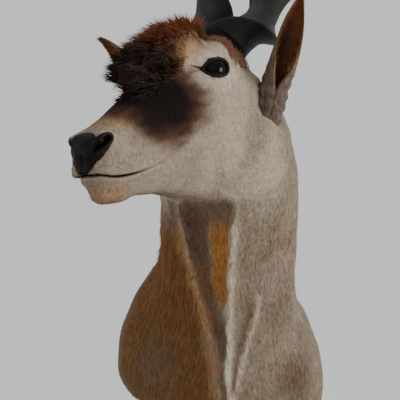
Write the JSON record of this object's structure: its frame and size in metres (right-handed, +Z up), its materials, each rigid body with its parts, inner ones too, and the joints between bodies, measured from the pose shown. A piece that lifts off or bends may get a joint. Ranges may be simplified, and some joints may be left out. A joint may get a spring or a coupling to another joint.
{
  "type": "mounted giant eland head and shoulders",
  "caption": "Life-size shoulder mount of a spiral-horned antelope, head turned to its right, with a flat back that hangs on a wall.",
  "frame": {"origin": "middle of the flat back of the mount, on the wall", "axes": "+Z up, +Y into the wall, -Y out of the wall along the chest, +X to the animal's left"},
  "size_m": [0.7017, 0.8008, 1.3422],
  "materials": {
    "hide": "short matt coat over tanned skin, with a long dark forelock",
    "ear_hide": "short matt coat outside, rust-brown hair inside",
    "horn": "dry charcoal horn, dull sheen along the keel",
    "eye": "polished, near black",
    "board": "sanded plywood"
  },
  "bodies": {
    "root": {"head": "hide", "neck": "hide", "chest": "hide", "ear_left": "ear_hide", "ear_right": "ear_hide", "horn_left": "horn", "horn_right": "horn", "eye_left": "eye", "eye_right": "eye", "back_board": "board"}
  },
  "joints": []
}
